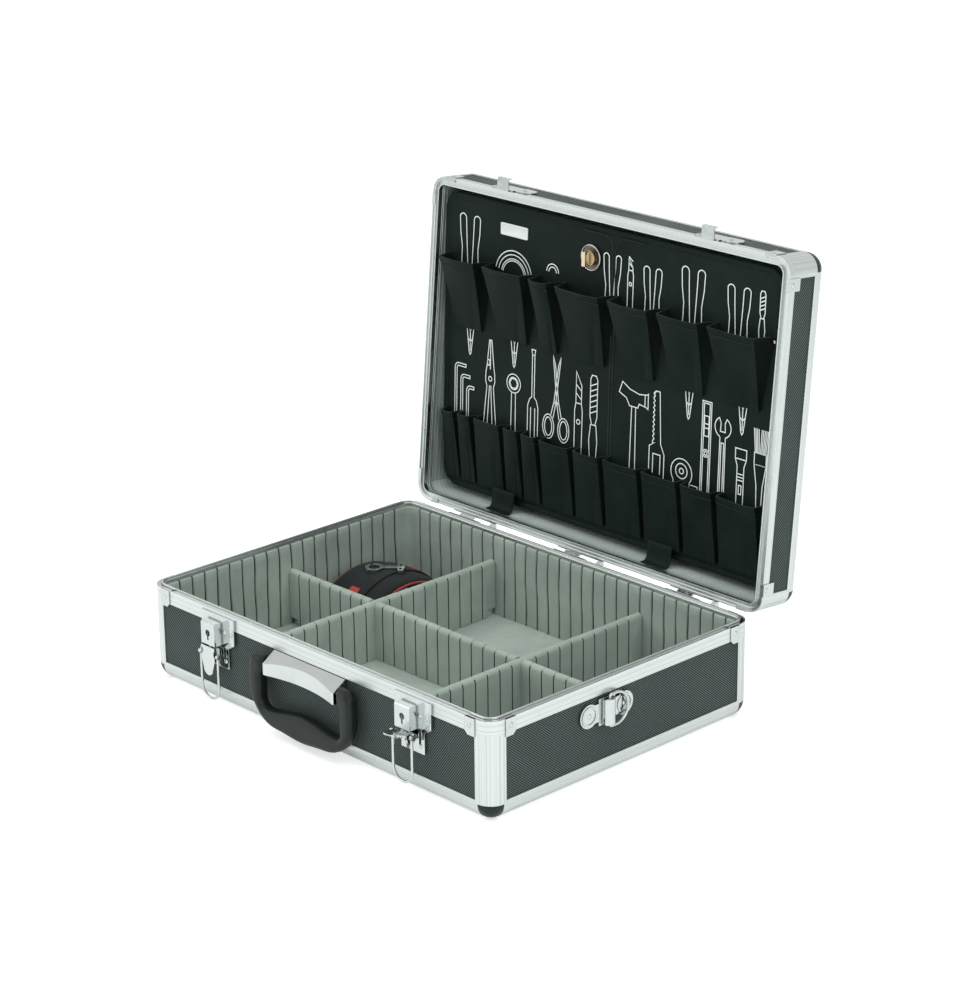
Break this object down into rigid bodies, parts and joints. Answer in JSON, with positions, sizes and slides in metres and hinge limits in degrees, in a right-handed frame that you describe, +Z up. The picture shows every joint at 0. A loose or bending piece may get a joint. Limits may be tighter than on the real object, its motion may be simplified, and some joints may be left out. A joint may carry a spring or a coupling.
{
  "type": "hard tool case",
  "caption": "Aluminium-framed hard tool case with hinged lid, key latches, carrying handle, grooved dividers and a fold-down tool pallet.",
  "frame": {"origin": "centre of the base's underside, on the plane that the case stands on", "axes": "+Z up out of the base, -Y towards the latches and the handle, +X to the right as seen from the latches"},
  "size_m": [0.4784, 0.4526, 0.4346],
  "materials": {
    "extrusion": "satin anodised extrusion",
    "plated": "bright nickel-chrome plated pressed steel",
    "panel": "fine diagonal-ribbed laminate",
    "moulding": "grained moulding",
    "grip": "soft satin grip",
    "lining": "grooved suede-faced foam lining",
    "vinyl": "black embossed vinyl",
    "webbing": "padded woven webbing with red piping",
    "brass": "polished brass"
  },
  "bodies": {
    "base": {"base_rim": "extrusion", "base_panel_front": "panel", "base_panel_back": "panel", "base_panel_left": "panel", "base_panel_right": "panel", "base_panel_bottom": "panel", "base_posts": "extrusion", "base_edge_rails": "extrusion", "base_ball_corners": "moulding", "base_brackets": "plated", "base_rivets": "plated", "base_lining_long": "lining", "base_lining_short": "lining", "base_lining_floor": "lining", "latch_plates": "plated", "handle_bracket": "plated", "handle_pins": "plated", "ring_plates": "plated", "hinge_base_leaves": "plated", "hinge_pins": "plated"},
    "lid": {"lid_rim": "extrusion", "lid_panel_front": "panel", "lid_panel_back": "panel", "lid_panel_left": "panel", "lid_panel_right": "panel", "lid_panel_top": "panel", "lid_posts": "extrusion", "lid_edge_rails": "extrusion", "lid_ball_corners": "moulding", "lid_brackets": "plated", "lid_rivets": "plated", "lid_lining_long": "lining", "lid_lining_short": "lining", "lid_lining_top": "lining", "keepers": "plated", "hinge_lid_leaves": "plated", "pallet_catch": "plated", "pallet_tabs_lid": "vinyl"},
    "tool_pallet": {"pallet_board": "vinyl", "pallet_pockets_upper": "vinyl", "pallet_pockets_lower": "vinyl", "pallet_tabs": "vinyl", "turn_lock_rose": "brass"},
    "divider_set": {"divider_long": "lining", "divider_cross_left": "lining", "divider_cross_right": "lining"},
    "strap_pad": {"shoulder_pad": "webbing", "strap_hook": "plated"},
    "turn_lock": {"turn_lock_knob": "brass"},
    "lever_left": {"latch_lever_left": "plated"},
    "lever_right": {"latch_lever_right": "plated"},
    "studs_left": {"bail_studs_left": "plated"},
    "studs_right": {"bail_studs_right": "plated"},
    "bail_left": {"latch_bail_left": "plated"},
    "bail_right": {"latch_bail_right": "plated"},
    "carrying_handle": {"handle": "grip"},
    "ring_left": {"strap_ring_left": "plated"},
    "ring_right": {"strap_ring_right": "plated"}
  },
  "joints": [
    {"name": "lid_hinge", "type": "hinge", "parent": "base", "child": "lid", "pos_m": [0, 0.17, 0.089], "axis": [-1, 0, 0], "range_deg": [-95.2, 0]},
    {"name": "lever_left_pivot", "type": "hinge", "parent": "base", "child": "lever_left", "pos_m": [-0.132, -0.173, 0.056], "axis": [-1, 0, 0], "range_deg": [0, 104]},
    {"name": "lever_right_pivot", "type": "hinge", "parent": "base", "child": "lever_right", "pos_m": [0.132, -0.173, 0.056], "axis": [-1, 0, 0], "range_deg": [-104, 4]},
    {"name": "studs_left_turn", "type": "hinge", "parent": "lever_left", "child": "studs_left", "pos_m": [-0.132, -0.17418, 0.05346], "axis": [-1, 0, 0], "range_deg": [-130, 25]},
    {"name": "studs_right_turn", "type": "hinge", "parent": "lever_right", "child": "studs_right", "pos_m": [0.132, -0.17518, 0.05776], "axis": [-1, 0, 0], "range_deg": [-25, 130]},
    {"name": "bail_left_swing", "type": "hinge", "parent": "studs_left", "child": "bail_left", "pos_m": [-0.132, -0.17418, 0.05346], "axis": [-1, 0, 0], "range_deg": [-6, 182]},
    {"name": "bail_right_swing", "type": "hinge", "parent": "studs_right", "child": "bail_right", "pos_m": [0.132, -0.17518, 0.05776], "axis": [-1, 0, 0], "range_deg": [-6, 182]},
    {"name": "handle_swing", "type": "hinge", "parent": "base", "child": "carrying_handle", "pos_m": [0, -0.1745, 0.07], "axis": [-1, 0, 0], "range_deg": [0, 100]},
    {"name": "ring_left_swing", "type": "hinge", "parent": "base", "child": "ring_left", "pos_m": [-0.2346, -0.026, 0.065], "axis": [0, 0, 1], "range_deg": [0, 175]},
    {"name": "ring_right_swing", "type": "hinge", "parent": "base", "child": "ring_right", "pos_m": [0.2346, -0.026, 0.065], "axis": [0, 0, -1], "range_deg": [0, 175]},
    {"name": "pallet_fold", "type": "hinge", "parent": "lid", "child": "tool_pallet", "pos_m": [0, 0.2027, 0.104], "axis": [1, 0, 0], "range_deg": [0, 60]},
    {"name": "turn_lock_turn", "type": "hinge", "parent": "tool_pallet", "child": "turn_lock", "pos_m": [-0.018, 0.21066, 0.37625], "axis": [0, -0.9995, 0.0332], "range_deg": [0, 90]},
    {"name": "divider_lift", "type": "slide", "parent": "base", "child": "divider_set", "axis": [0, 0, 1], "range_m": [0, 0.036]},
    {"name": "pad_lift", "type": "slide", "parent": "base", "child": "strap_pad", "axis": [0, 0, 1], "range_m": [0, 0.03]}
  ],
  "couplings": [
    {"joint": "studs_left_turn", "follows": "lever_left_pivot", "ratio": -1},
    {"joint": "studs_right_turn", "follows": "lever_right_pivot", "ratio": -1}
  ]
}
